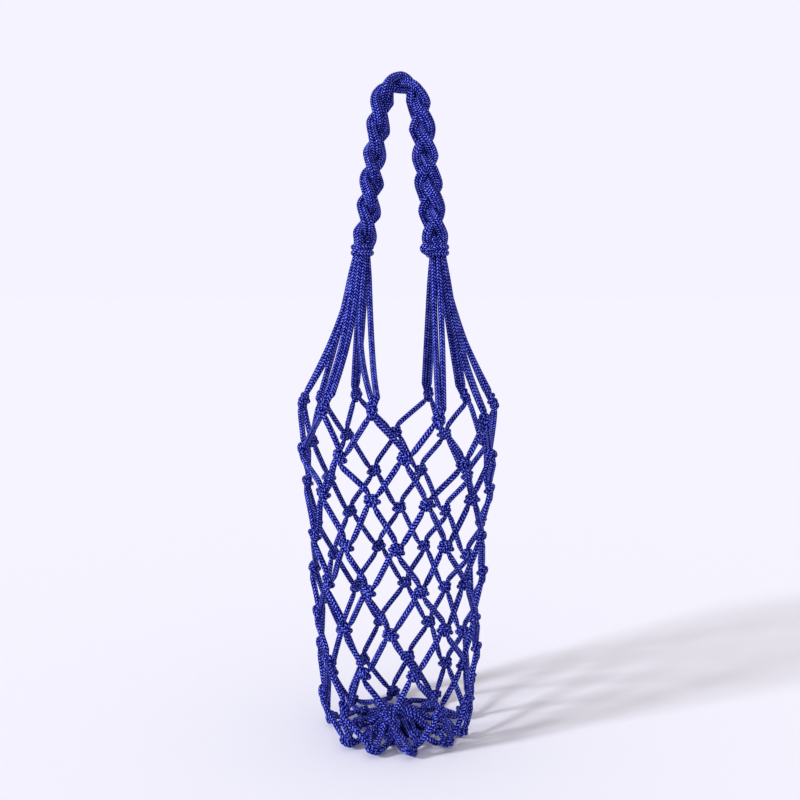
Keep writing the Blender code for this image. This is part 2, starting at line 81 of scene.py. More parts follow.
# How far each knot lies beside and above its even place, in shares of a column's and a row's step
KNOT_TURN_SHARES = (
    (-0.44, 0.18, 0.01, 0.00, -0.06, 0.27, 0.11, -0.14, 0.17, -0.06),
    (-0.31, -0.03, 0.04, 0.05, -0.10, 0.00, 0.06, 0.00, -0.06, -0.10),
    (-0.10, 0.06, 0.05, -0.06, -0.15, -0.03, 0.00, 0.05, -0.05, -0.03),
    (0.13, 0.08, -0.01, -0.15, -0.19, -0.08, 0.03, 0.00, 0.04, 0.06),
    (0.05, 0.09, 0.01, -0.05, -0.12, -0.25, -0.06, 0.02, -0.03, 0.05),
    (-0.08, 0.02, -0.05, 0.00, -0.08, 0.00, 0.04, -0.04, 0.03, 0.00),
    (-0.01, 0.00, -0.06, -0.06, 0.08, 0.05, 0.00, -0.05, 0.04, 0.00),
    (0.04, -0.02, -0.01, 0.03, -0.08, 0.00, 0.03, -0.04, 0.02, 0.00),
    (0.10, 0.44, 0.15, -0.03, -0.08, -0.45, -0.35, -0.25, -0.15, 0.00),
    (0.05, 0.10, 0.02, -0.05, -0.12, -0.12, -0.06, 0.00, 0.00, 0.00),
)
KNOT_LIFT_SHARES = (
    (0.03, 0.15, 0.12, -0.10, -0.24, 0.00, 0.00, 0.00, 0.00, 0.00),
    (-0.02, 0.05, 0.08, -0.12, -0.10, 0.00, 0.00, 0.00, 0.00, 0.00),
    (0.10, 0.12, 0.12, 0.02, 0.00, -0.07, 0.00, 0.00, 0.00, 0.00),
)

# Handle, as in the part, but leaning a little to the right as in the photo
ARM_SPREAD = 19.0
HANDLE_ASIDE = 0.8
COLLAR_HEIGHT = 251.8
ARCH_HEIGHT = 334.0
ARM_SHARES = (
    (1.0, 0.0), (0.92, 0.105), (0.82, 0.257), (0.748, 0.402), (0.68, 0.548),
    (0.605, 0.693), (0.51, 0.827), (0.45, 0.905), (0.27, 0.978), (0.0, 1.0),
)
NECK_RUN = 6.0
PLAIT_RUN = NECK_RUN + 3.2
PLAIT_TURNS = 4
PLAIT_START = math.radians(24)
PLAIT_END = math.radians(90)
LEFT_ARM_TURN = math.radians(66)
RIGHT_ARM_TURN = math.radians(30)
STRAND_OF_CORD = (0, 0, 0, 0, 1, 1, 1, 2, 2, 2)


# Paths

LEAST_STEP = 1e-6
LINK_EASE = 0.42
LINK_POINTS = 9
SHORT_LINK_POINTS = 5


def unit(vector):
    return vector / np.linalg.norm(vector)


def smoothstep(share):
    return share * share * (3 - 2 * share)


def outward(azimuth):
    """The level direction out of the net at an azimuth, which is 0 at the front."""
    return np.array((math.sin(azimuth), -math.cos(azimuth), 0.0))


def run_lengths(path):
    """How far along the path each of its points lies."""
    return np.concatenate(([0.0], np.cumsum(np.linalg.norm(np.diff(path, axis=0), axis=1))))


def resample(path, count):
    """The same path with its points evenly spread."""
    run = run_lengths(path)
    at = np.linspace(0, run[-1], count)
    return np.stack([np.interp(at, run, path[:, k]) for k in range(3)], axis=1)


def cubic(a, slope_a, b, slope_b, t):
    """The smooth curve from a to b with the given slopes at its ends."""
    return (a * (2 * t ** 3 - 3 * t ** 2 + 1) + slope_a * (t ** 3 - 2 * t ** 2 + t)
            + b * (3 * t ** 2 - 2 * t ** 3) + slope_b * (t ** 3 - t ** 2))


def resample_by_step(path, radius, step):
    """The path and its radii at an even step along it, through a smooth curve."""
    run = run_lengths(path)
    keep = np.concatenate(([True], np.diff(run) > LEAST_STEP))
    run, path, radius = run[keep], path[keep], radius[keep]
    slope = np.gradient(path, run, axis=0)
    at = np.linspace(0, run[-1], max(int(run[-1] / step), 2) + 1)
    low = np.clip(np.searchsorted(run, at, side="right") - 1, 0, len(run) - 2)
    span = (run[low + 1] - run[low])[:, None]
    share = (at - run[low])[:, None] / span
    smooth = cubic(path[low], slope[low] * span, path[low + 1], slope[low + 1] * span, share)
    return smooth, np.interp(at, run, radius)


def hermite(a, along_a, b, along_b, count):
    """Points between a and b on a smooth curve that leaves a and meets b in the given directions."""
    t = (0.5 - 0.5 * np.cos(np.linspace(0, math.pi, count + 2)))[1:-1, None]
    reach = LINK_EASE * np.linalg.norm(b - a)
    return cubic(a, along_a * reach, b, along_b * reach, t)


def smooth_curve(points, steps=24):
    """A curve through all the points, with this many steps from one to the next."""
    points = [np.array(p, float) for p in points]
    padded = [2 * points[0] - points[1], *points, 2 * points[-1] - points[-2]]
    curve = []
    for a, b, c, d in zip(padded, padded[1:], padded[2:], padded[3:]):
        for k in range(steps):
            t = k / steps
            curve.append(0.5 * (2 * b + (c - a) * t + (2 * a - 5 * b + 4 * c - d) * t ** 2
                                + (3 * b - a - 3 * c + d) * t ** 3))
    curve.append(points[-1])
    return np.array(curve)


# Cords under tension: each path shortens, and cords that touch push each other apart

PUSH_LIMIT = 0.35
SOFT_PUSH_LIMIT = 0.2
LEAST_SQUARE = 1e-12
LEAST_LENGTH = 1e-9
# Neighbours along the same cord push each other from this many cord radii on
NEIGHBOUR_RADII = 2.6
LEAST_NEIGHBOURS = 3


def relax(paths, radii, held, passes, pull, skip, cap=PUSH_LIMIT):
    """Groups of cords, as an array of group, cord, point and coordinate. Groups don't see each other. The
    pull goes from its first to its second value, and points up to skip apart on one cord don't push."""
    groups, cords, points, _ = paths.shape
    flat = paths.reshape(groups, -1, 3)
    size = radii.reshape(groups, -1)
    index = np.arange(cords * points)
    cord = index // points
    others = (cord[:, None] != cord[None]) | (abs(index[:, None] - index[None]) > skip)
    need = np.where(others, size[:, :, None] + size[:, None, :], 0.0)
    free = (~held.reshape(groups, -1))[..., None]
    for step in range(passes):
        ease = pull[0] + (pull[1] - pull[0]) * step / passes
        p = flat.reshape(paths.shape)
        move = np.zeros_like(p)
        move[..., 1:-1, :] = ease * (0.5 * (p[..., :-2, :] + p[..., 2:, :]) - p[..., 1:-1, :])
        flat = flat + move.reshape(flat.shape) * free
        square = (flat * flat).sum(-1)
        apart = square[..., None] + square[:, None, :] - 2 * flat @ flat.transpose(0, 2, 1)
        distance = np.sqrt(np.maximum(apart, LEAST_SQUARE))
        weight = np.maximum(need - distance, 0.0) / distance
        push = 0.5 * (flat * weight.sum(-1)[..., None] - weight @ flat)
        push = push / np.sqrt(np.maximum((weight > 0).sum(-1), 1))[..., None]
        length = np.linalg.norm(push, axis=-1)
        push *= (np.minimum(length, cap) / np.maximum(length, LEAST_LENGTH))[..., None]
        flat = flat + push * free
    return flat.reshape(paths.shape)


def held_ends(shape):
    """Marks the first and the last point of each cord as held."""
    held = np.zeros(shape, bool)
    held[..., [0, -1]] = True
    return held


def neighbours(paths, radius):
    """How many points along its own cord a point leaves alone."""
    step = np.linalg.norm(np.diff(paths, axis=1), axis=2).mean()
    return max(math.ceil(NEIGHBOUR_RADII * radius / step), LEAST_NEIGHBOURS)


# Knots: two strands tied together in one overhand knot, pulled tight towards four corners

TREFOIL_SPAN = 2.25
TREFOIL_POINTS = 400
TREFOIL_LIFT = 1.5
TREFOIL_DEPTH = 8.0
CORE_HALF_HEIGHT = 4.0

# Corners: across and up from the knot's middle at the top, across and down at the bottom
DIAMOND_CORNERS = (15.7, 21.4, 15.7, 21.4)
RIM_CORNERS = (2.2, 26.0, 15.7, 21.4)
LOOSE_SCALE = 2.2
LOOSE_DEPTH = 0.5
LOOSE_SPREAD = 0.7
LEFT_HANDED = -1
RIGHT_HANDED = 1
STAGES = 10
LOOSE_POINTS = 140
TIGHT_POINTS = 100
THIN_CORD = 0.55
STAGE_PASSES = 80
LAST_PASSES = 320
STEADY_PULL = (0.3, 0.3)
EASING_PULL = (0.3, 0.05)


def loose_overhand(scale, depth, corners, spread, count, hand):
    """The knot before it is pulled tight: an open trefoil line, doubled side by side."""
    t = np.linspace(-TREFOIL_SPAN, TREFOIL_SPAN, TREFOIL_POINTS)
    line = np.stack([(t ** 4 - 4 * t ** 2 + TREFOIL_LIFT) * scale,
                     np.clip(t ** 5 - 10 * t, -TREFOIL_DEPTH, TREFOIL_DEPTH) * hand * depth,
                     -(t ** 3 - 3 * t) * scale], axis=1)
    ahead = np.gradient(line, axis=0)
    aside = np.stack([-ahead[:, 2], np.zeros(len(line)), ahead[:, 0]], axis=1)
    aside /= np.linalg.norm(aside, axis=1)[:, None]
    across_top, up, across_low, down = corners
    strands = []
    for side in (1, -1):
        top = (side * across_top, 0.0, up)
        low = (side * across_low, 0.0, -down)
        strands.append(resample(np.vstack([top, line + side * spread * aside, low]), count))
    return np.array(strands)


def about_core(paths):
    """The knot moved so that the middle of its core is the origin."""
    core = paths[np.abs(paths[..., 2]) < CORE_HALF_HEIGHT]
    return paths - 0.5 * (core.min(0) + core.max(0))


def tight_knot(corners, contact):
    """The tight knot, as paths of its right and its left strand from the top down."""
    paths = loose_overhand(LOOSE_SCALE, LOOSE_DEPTH, corners, LOOSE_SPREAD, LOOSE_POINTS, LEFT_HANDED)
    for stage in range(STAGES + 1):
        share = min(stage / (STAGES - 1), 1.0)
        size = THIN_CORD + (contact - THIN_CORD) * share
        count = int(LOOSE_POINTS + (TIGHT_POINTS - LOOSE_POINTS) * share)
        paths = np.array([resample(p, count) for p in paths])
        passes, pull = (LAST_PASSES, EASING_PULL) if stage == STAGES else (STAGE_PASSES, STEADY_PULL)
        radii = np.full(paths.shape[:2], size)
        paths = relax(paths[None], radii, held_ends(radii.shape), passes, pull, neighbours(paths, size))[0]
    return about_core(paths)


def knot_core(path, reach, centre=(0.0, 0.0, 0.0)):
    """The stretch of one strand's path that lies inside the knot's reach."""
    inside = np.nonzero(np.linalg.norm(path - np.array(centre), axis=1) < reach)[0]
    return path[inside[0]:inside[-1] + 1]


# Places of the knots, and where their strands come in

def collar_centre(side, height=COLLAR_HEIGHT):
    return np.array((HANDLE_ASIDE + side * ARM_SPREAD, 0.0, height))


def wall_radius(height):
    rise = max(height - FOOT_HEIGHT, 0.0) / (RIM_HEIGHT - FOOT_HEIGHT)
    return FOOT_RADIUS + (RIM_RADIUS - FOOT_RADIUS) * rise ** WALL_CURVE


def knot_azimuth(row, column):
    even = FIRST_COLUMN + (column + 0.5 * (row % 2)) * COLUMN_STEP - row * ROW_TWIST
    return even + KNOT_TURN_SHARES[row][column] * COLUMN_STEP


def knot_frame(row, column):
    """Centre of a knot and its directions across (round the net), out of the net, and up the net."""
    azimuth = knot_azimuth(row, column)
    radial = outward(azimuth)
    level = np.array((math.cos(azimuth), math.sin(azimuth), 0.0))
    if row < WALL_ROWS:
        lift = KNOT_LIFT_SHARES[row][column] if row < len(KNOT_LIFT_SHARES) else 0.0
        height = RIM_HEIGHT - (row - lift) * ROW_STEP
        radius = wall_radius(RIM_HEIGHT - row * ROW_STEP)
        tilt = 0.0
    elif row == EDGE_ROW:
        height, radius, tilt = EDGE_HEIGHT, EDGE_RADIUS, EDGE_TILT
    else:
        height, radius, tilt = BASE_HEIGHT, BASE_RADIUS, BASE_TILT
    centre = radius * radial + height * UPRIGHT
    up = math.sin(tilt) * radial + math.cos(tilt) * UPRIGHT
    out = math.cos(tilt) * radial - math.sin(tilt) * UPRIGHT
    if row > 0:
        return centre, level, out, up
    # A knot of the rim leans towards the collar of its side
    collar = collar_centre(1 if centre[0] > 0 else -1)
    up = unit(UPRIGHT + unit(collar - centre))
    across = unit(np.cross(up, out))
    across = across if across @ level > 0 else -across
    return centre, across, np.cross(across, up), up


def knot_side(strand, row):
    """Which knot a strand meets in a row, and on which side of it: -1 is left, 1 is right."""
    if row % 2:
        return strand // 2, (-1 if strand % 2 == 0 else 1)
    return (strand + 1) // 2 % COLUMNS, (1 if strand % 2 == 0 else -1)


PORT_ASIDE = 1.5
PORT_HEIGHT = 3.6
# The strands lie closer together where they come into a knot from above than where they leave it
PORT_SHARES = {1: 0.85, -1: 1.1}


def port(row, column, side, end):
    """Where a strand enters a knot, at end 1, or leaves it, at end -1."""
    centre, across, _, up = knot_frame(row, column)
    aside = PORT_ASIDE * PORT_SHARES[end]
    return centre + side * aside * across + end * PORT_HEIGHT * up


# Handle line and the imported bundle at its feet

TANGENT_REACH = 1.5
BUNDLE_RING = 2.9
# Degrees round the bundle, in the order of the handle's cords without the two inner ones
BUNDLE_TURNS = (22.5, -22.5, 67.5, -67.5, -112.5, -157.5, 112.5, 157.5)
TRIPLE_TURNS = (85, 205, 325)


def handle_centreline():
    rise = ARCH_HEIGHT - COLLAR_HEIGHT
    arm = [(ARM_SPREAD * x, 0.0, COLLAR_HEIGHT + rise * z) for x, z in ARM_SHARES]
    right = [(ARM_SPREAD, 0.0, COLLAR_HEIGHT - NECK_RUN), *arm]
    left = [(-x, y, z) for x, y, z in right]
    return smooth_curve(left + right[-2::-1]) + np.array((HANDLE_ASIDE, 0.0, 0.0))


HANDLE_LINE = handle_centreline()
HANDLE_RUN = run_lengths(HANDLE_LINE)
HANDLE_LENGTH = float(HANDLE_RUN[-1])


def handle_point(run):
    return np.array([np.interp(run, HANDLE_RUN, HANDLE_LINE[:, i]) for i in range(3)])


def plait_share(run):
    """How far along the plait a run lies: 0 where it starts on the left arm, 1 where it ends."""
    return (run - PLAIT_RUN) / (HANDLE_LENGTH - 2 * PLAIT_RUN)


def handle_frame(run):
    """A point of the handle's line and the plait's two directions across it, which turn along the way."""
    along = unit(handle_point(run + TANGENT_REACH) - handle_point(run - TANGENT_REACH))
    flat = np.array((0.0, 1.0, 0.0))
    wide = np.cross(flat, along)
    share = min(max(plait_share(run), 0.0), 1.0)
    turn = LEFT_ARM_TURN + (RIGHT_ARM_TURN - LEFT_ARM_TURN) * share
    first = math.cos(turn) * wide + math.sin(turn) * flat
    second = math.cos(turn) * flat - math.sin(turn) * wide
    return handle_point(run), first, second


def bundle_slots(cord_radius):
    """Places of the ten cords in a round bundle: four, three and three make the plait's strands."""
    outer = BUNDLE_RING * cord_radius
    inner = cord_radius
    ring = [np.array((outer * math.cos(a), outer * math.sin(a))) for a in map(math.radians, BUNDLE_TURNS)]
    return ring[:4] + ring[4:6] + [np.array((0.0, -inner))] + ring[6:] + [np.array((0.0, inner))]


def strand_offsets(cord_radius):
    """Places of the cords in the plait's three strands: one of four cords and two of three."""
    pitch = 2 * cord_radius
    square = [np.array((x, y)) * pitch / 2 for x, y in ((1, 1), (1, -1), (-1, 1), (-1, -1))]
    spoke = pitch / math.sqrt(3)
    low = [np.array((math.cos(a), -math.sin(a))) * spoke for a in map(math.radians, TRIPLE_TURNS)]
    high = [np.array((x, -y)) for x, y in low]
    return square + low + high


# Plait: ten cords in three strands, tightened in a straight line and then laid along the handle

PLAIT_HALF_WIDTH = 3.9
PLAIT_HALF_DEPTH = 3.3
STRAND_CONTACT = 2.4
STRAND_PASSES = 120
STRAND_PULL = (0.1, 0.05)
STRAND_SKIP = 6
PLAIT_POINTS = 116
PLAIT_CONTACT = 1.2
PLAIT_CORD = 1.52
PLAIT_PASSES = 30
PLAIT_PULL = (0.1, 0.1)
PLAIT_SKIP = 3
NECK_CONTACT = 1.02
NECK_CORD = 1.12
NECK_HELD = 0.5
NECK_EASE = 4.0
NECK_GROWTH = 3.6
# Where the plait is drawn thin: by how much, and its place and span as shares of the handle's length
ARCH_SQUEEZE = (0.26, 0.52, 0.09)
LEFT_ARM_SQUEEZE = (0.1, 0.32, 0.1)
# The cords themselves get thinner by a part of what the plait does
FIRM_SHARE = 0.6
SQUEEZED_SHARE = 0.4


def plaited_strands(runs):
    """The three strands as thick cords that press on each other."""
    turn = PLAIT_START + (PLAIT_END - PLAIT_START + 2 * math.pi * PLAIT_TURNS) * plait_share(runs)
    phase = turn + 2 * math.pi * np.arange(3)[:, None] / 3
    strands = np.stack([PLAIT_HALF_WIDTH * np.sin(phase), -PLAIT_HALF_DEPTH * np.sin(2 * phase),
                        np.broadcast_to(runs, phase.shape)], axis=-1)
    contact = np.full(phase.shape, STRAND_CONTACT)
    return relax(strands[None], contact, held_ends(phase.shape), STRAND_PASSES, STRAND_PULL, STRAND_SKIP,
                 cap=SOFT_PUSH_LIMIT)[0]


def drawn_thin(runs, amount, place, span):
    return amount * np.exp(-((runs / HANDLE_LENGTH - place) / span) ** 2)


def laid_along_handle(path):
    """A cord's path, given across the plait and by the run along it, on the handle's line."""
    line = []
    for x, y, run in path:
        point, first, second = handle_frame(min(max(run, 0.0), HANDLE_LENGTH))
        line.append(point + x * first + y * second)
    return np.array(line)


def plait_paths():
    """The ten cords of the handle: bundled at both necks and plaited in between."""
    runs = np.linspace(0, HANDLE_LENGTH, PLAIT_POINTS)
    slots = np.array(bundle_slots(NECK_CONTACT))
    offsets = np.array(strand_offsets(PLAIT_CONTACT))
    from_neck = np.minimum(runs, HANDLE_LENGTH - runs) - NECK_RUN
    ease = smoothstep(np.clip((from_neck + NECK_HELD) / NECK_EASE, 0.0, 1.0)[:, None])
    paths = plaited_strands(runs)[list(STRAND_OF_CORD)]
    paths[..., :2] = (1 - ease) * slots[:, None] + ease * (paths[..., :2] + offsets[:, None])
    paths[..., 2] = runs
    held = np.zeros(paths.shape[:2], bool)
    held[:, from_neck < NECK_HELD] = True
    grown = smoothstep(np.clip(from_neck / NECK_GROWTH, 0.0, 1.0))
    contact = np.broadcast_to(NECK_CONTACT + (PLAIT_CONTACT - NECK_CONTACT) * grown, paths.shape[:2])
    paths = relax(paths[None], contact, held, PLAIT_PASSES, PLAIT_PULL, PLAIT_SKIP, cap=SOFT_PUSH_LIMIT)[0]
    squeeze = 1 - drawn_thin(runs, *ARCH_SQUEEZE) - drawn_thin(runs, *LEFT_ARM_SQUEEZE)
    paths[..., :2] *= squeeze[:, None]
    size = (NECK_CORD + (PLAIT_CORD - NECK_CORD) * grown) * (FIRM_SHARE + SQUEEZED_SHARE * squeeze)
    return [(laid_along_handle(path), size) for path in paths]


# Places of the legs: ten a side, from the knots of the rim up into the collar

LEG_TOP = COLLAR_HEIGHT + 1.5


def leg_slots(side):
    """World places of the ten cords at a collar, from the inner front round the outside to the inner
    back, with the two inner slots midway."""
    _, first, second = handle_frame(NECK_RUN if side < 0 else HANDLE_LENGTH - NECK_RUN)
    point = collar_centre(side, LEG_TOP)
    places = [point + p[0] * first + p[1] * second for p in bundle_slots(NECK_CONTACT)]
    middle = [i for i, p in enumerate(places) if np.linalg.norm((p - point)[:2]) < NECK_CONTACT * 2]
    outer = [i for i in range(len(places)) if i not in middle]

    def turn(i):
        x, y, _ = places[i] - point
        return (math.atan2(side * x, -y) + math.pi / 2) % (2 * math.pi)

    outer.sort(key=turn)
    middle.sort(key=lambda i: places[i][1])
    order = outer[:4] + middle + outer[4:]
    return [places[i] for i in order]


def leg_order(side):
    """Which slot of a collar each strand of that side goes to, in the order that they stand round it."""
    def turn(strand):
        x, y, _ = port(0, *knot_side(strand, 0), 1)
        return math.atan2(side * x, -y) % (2 * math.pi)

    strands = [n for n in range(STRANDS) if side * math.sin(knot_azimuth(0, knot_side(n, 0)[0])) > 0]
    strands.sort(key=turn)
    return dict(zip(strands, leg_slots(side)))


LEG_TARGETS = {**leg_order(-1), **leg_order(1)}


# Foot: a ring of cord, with every strand hitched round it

RING_RADIUS = 9.4
RING_HEIGHT = 4.6
RING_CORD = 1.4
RING_POINTS = 60
HITCH_REACH = 2.75
HITCH_TURNS = (55, 265)
HITCH_POINTS = 12
HITCH_CORD = 1.35
HITCH_TAIL = 5.0
HITCH_TAIL_HEIGHT = 1.5


def hitch(strand):
    """The end of a strand: over the ring, round its inside, and back out underneath."""
    step = 2 * math.pi / STRANDS
    radial = outward(FIRST_COLUMN - BASE_ROW * ROW_TWIST + (strand + 0.5) * step)
    points = []
    for angle in np.radians(np.linspace(*HITCH_TURNS, HITCH_POINTS)):
        arm = RING_RADIUS + HITCH_REACH * math.cos(angle)
        points.append(arm * radial + (RING_HEIGHT + HITCH_REACH * math.sin(angle)) * UPRIGHT)
    points.append((RING_RADIUS + HITCH_TAIL) * radial + HITCH_TAIL_HEIGHT * UPRIGHT)
    return np.array(points), np.full(len(points), HITCH_CORD)


def ring_path():
    turn = np.linspace(0, 2 * math.pi, RING_POINTS, endpoint=False)
    path = np.stack([RING_RADIUS * np.sin(turn), -RING_RADIUS * np.cos(turn),
                     np.full(RING_POINTS, RING_HEIGHT)], axis=1)
    return path, np.full(RING_POINTS, RING_CORD)


# Tied knots: the tight knot in each place, turned a little in its own way and drawn tight once more

KNOT_REACH = 4.3
KNOT_KEPT = 6.0
KNOT_CONTACT = 0.86
KNOT_CORD = 1.14
KNOT_POINTS = 64
KNOT_PASSES = 90
KNOT_PULL = (0.3, 0.08)
KNOT_SKIP = 4
KNOT_SHARE = 0.9
KNOT_STRETCH = KNOT_SHARE * np.array((0.88, 1.05, 1.14))
KNOT_ROLL = math.radians(22)
# Each knot's own turns, in degrees either way, and its own size
ROLL_SPREAD = 14
YAW_SPREAD = 18
KNOT_SIZES = (0.97, 1.06)
# From the knot's middle, where its cord starts to widen and how soon it has its full width
WIDEN_START = 3.6
WIDEN_RUN = 2.6
TAIL = 9.0
TAIL_SHARE = 0.45

DIAMOND_KNOT = tight_knot(DIAMOND_CORNERS, KNOT_CONTACT)
RIM_KNOT = tight_knot(RIM_CORNERS, KNOT_CONTACT)

random = np.random.default_rng(11)


def tail_end(strand, row, end):
    """The point on a strand's way to its next knot at which its knot's own stretch stops."""
    here = port(row, *knot_side(strand, row), end)
    if row == 0 and end > 0:
        there = LEG_TARGETS[strand]
    elif row == ROWS - 1 and end < 0:
        there = hitch(strand)[0][0]
    else:
        there = port(row - end, *knot_side(strand, row - end), -end)
    away = there - here
    reach = np.linalg.norm(away)
    return here + away / reach * min(TAIL, TAIL_SHARE * reach)


def knot_turns(roll, yaw):
    """A turn in the face of the net, and one about the way up it."""
    in_face = np.array(((math.cos(roll), 0.0, math.sin(roll)),
                        (0.0, 1.0, 0.0),
                        (-math.sin(roll), 0.0, math.cos(roll))))
    about_up = np.array(((math.cos(yaw), -math.sin(yaw), 0.0),
                         (math.sin(yaw), math.cos(yaw), 0.0),
                         (0.0, 0.0, 1.0)))
    return in_face, about_up


def placed_knot(row, column, strand_at):
    """The right and the left strand of one knot in its place, with their ends on the way to the next."""
    centre, across, out, up = knot_frame(row, column)
    roll = KNOT_ROLL + math.radians(random.uniform(-ROLL_SPREAD, ROLL_SPREAD))
    yaw = math.radians(random.uniform(-YAW_SPREAD, YAW_SPREAD))
    size = random.uniform(*KNOT_SIZES)
    in_face, about_up = knot_turns(roll, yaw)
    # The knot's own axes are across, back and up
    basis = np.stack([across, -out, up], axis=1) @ in_face @ about_up * size
    pair = []
    for side, path in zip((1, -1), RIM_KNOT if row == 0 else DIAMOND_KNOT):
        strand = strand_at[row, column, side]
        core = knot_core(path, KNOT_REACH) * KNOT_STRETCH @ basis.T + centre
        route = np.vstack([tail_end(strand, row, 1), core, tail_end(strand, row, -1)])
        pair.append(resample(route, KNOT_POINTS))
    return pair


def tie_knots():
    """Every strand's stretch in every knot, by row, column and side."""
    strand_at = {(row, *knot_side(strand, row)): strand for row in range(ROWS) for strand in range(STRANDS)}
    places = [(row, column) for row in range(ROWS) for column in range(COLUMNS)]
    paths = np.array([placed_knot(row, column, strand_at) for row, column in places])
    radii = np.full(paths.shape[:3], KNOT_SHARE * KNOT_CONTACT)
    paths = relax(paths, radii, held_ends(radii.shape), KNOT_PASSES, KNOT_PULL, KNOT_SKIP)
    knots = {}
    for (row, column), pair in zip(places, paths):
        centre = knot_frame(row, column)[0]
        for side, path in zip((1, -1), pair):
            path = knot_core(path, KNOT_KEPT, centre)
            away = np.linalg.norm(path - centre, axis=1)
            ease = smoothstep(np.clip((away - WIDEN_START) / WIDEN_RUN, 0.0, 1.0))
            knots[row, column, side] = (path, KNOT_CORD + (CORD_RADIUS - KNOT_CORD) * ease)
    return knots


KNOTS = tie_knots()


# Legs: curves with two control points, which bow out more at the front than at the back

LEG_POINTS = 44
LEG_PASSES = 220
LEG_PULL = (0.35, 0.1)
LEG_SKIP = 3
LEG_HELD_AT_TOP = 3
BOW_MIDDLE = 0.95
BOW_PER_DEPTH = 0.038
BOW_LIMITS = (-0.15, 1.0)
HIGH_REACH = 0.3
HIGH_REACH_BY_BOW = 0.22
HIGH_RISE = 0.6
HIGH_RISE_BY_BOW = 1.4
LOW_SHARE = 0.33
# Legs that bow sideways, away from the other leg of their knot
LEG_BOW = {3: -9.0, 6: 3.2}
GATHER_HEIGHT = 226.0
GATHER_RUN = 22.0
LEG_CONTACT_SHARE = 0.97
LEG_CORD_SHARE = 1.08


def leg_curve(strand, top, share):
    """A leg from its knot up to its place in the collar, before it presses on the others."""
    bottom = KNOTS[0, *knot_side(strand, 0)][0][0]
    reach = np.linalg.norm(top - bottom)
    bow = np.clip(BOW_MIDDLE - BOW_PER_DEPTH * bottom[1], *BOW_LIMITS)
    rise = np.array((0.0, 0.0, HIGH_RISE + HIGH_RISE_BY_BOW * bow))
    high = top - (HIGH_REACH + HIGH_REACH_BY_BOW * bow) * reach * unit(unit(top - bottom) + rise)
    high = high + np.array((LEG_BOW.get(strand, 0.0), 0.0, 0.0))
    low = bottom + LOW_SHARE * (high - bottom)
    return ((1 - share) ** 3 * bottom + 3 * (1 - share) ** 2 * share * low
            + 3 * (1 - share) * share ** 2 * high + share ** 3 * top)


def leg_paths(side):
    """The legs of one side from the collar down to their knots, as paths and radii by strand."""
    order = leg_order(side)
    share = np.linspace(0, 1, LEG_POINTS)[:, None]
    paths = np.array([leg_curve(strand, top, share) for strand, top in order.items()])
    gather = np.clip((paths[..., 2] - GATHER_HEIGHT) / GATHER_RUN, 0.0, 1.0)
    radii = CORD_RADIUS + (NECK_CONTACT - CORD_RADIUS) * gather ** 2
    held = np.zeros(paths.shape[:2], bool)
    held[:, :1] = True
    held[:, -LEG_HELD_AT_TOP:] = True
    paths = relax(paths[None], radii * LEG_CONTACT_SHARE, held, LEG_PASSES, LEG_PULL, LEG_SKIP,
                  cap=SOFT_PUSH_LIMIT)[0]
    return {strand: (path[::-1], np.minimum(radius[::-1] * LEG_CORD_SHARE, CORD_RADIUS))
            for strand, path, radius in zip(order, paths, radii)}


# Strands: each from the collar down its leg, through a knot in every row, and round the foot's ring

def link(before, after, count, ahead=2):
    """Points that join the end of one stretch of a cord to the start of the next, at the full radius."""
    leaving = unit(before[-1] - before[-3])
    meeting = unit(after[ahead] - after[0])
    return hermite(before[-1], leaving, after[0], meeting, count), np.full(count, CORD_RADIUS)


def strand_paths():
    legs = {**leg_paths(-1), **leg_paths(1)}
    strands = []
    for strand in range(STRANDS):
        path, radius = legs[strand]
        stretches = [(path[:-1], radius[:-1])]
        for row in range(ROWS):
            knot = KNOTS[row, *knot_side(strand, row)]
            if row > 0:
                stretches.append(link(stretches[-1][0], knot[0], LINK_POINTS))
            stretches.append(knot)
        end = hitch(strand)
        stretches += [link(stretches[-1][0], end[0], SHORT_LINK_POINTS, ahead=1), end]
        paths, radii = zip(*stretches)
        strands.append((np.vstack(paths), np.concatenate(radii)))
    return strands


# Collars: two turns of cord round the neck, the right one with its end tied in a small knot

WRAP_RADIUS = 4.35
WRAP_CORD = 1.58
WRAP_PITCH = 2.9
WRAP_POINTS = 78
# Degrees round the neck: the cord's whole turn, where it climbs to its second turn, and its tucked ends
WRAP_TURN = 630
CLIMB_START = 285
CLIMB_TURN = 70
TUCK_TURN = 70
TUCK_DEPTH = 1.5
TUCK_THINNING = 0.3

END_KNOT_CORNERS = (1.0, 16.0, 1.0, 16.0)
END_KNOT_SCALE = 1.9
END_KNOT_LOOSE_POINTS = 130
END_KNOT_POINTS = 90
END_KNOT_CONTACTS = (0.5, 1.12)
END_KNOT_STAGES = 12
END_KNOT_PASSES = 60
END_KNOT_REACH = 4.2
END_KNOT_SHARE = 0.78
END_KNOT_CORD = 1.2
# From the middle of the collar: the knot, and the two ends of its cord inside the collar
END_KNOT_PLACE = np.array((-5.7, -4.0, -0.1))
END_KNOT_FROM = np.array((-3.4, 1.2, 1.6))
END_KNOT_TO = np.array((-0.4, -3.2, -1.6))
# Its run lies from the upper left to the lower right, along the collar's face
END_KNOT_ALONG = np.array((0.55, -0.45, -0.75))


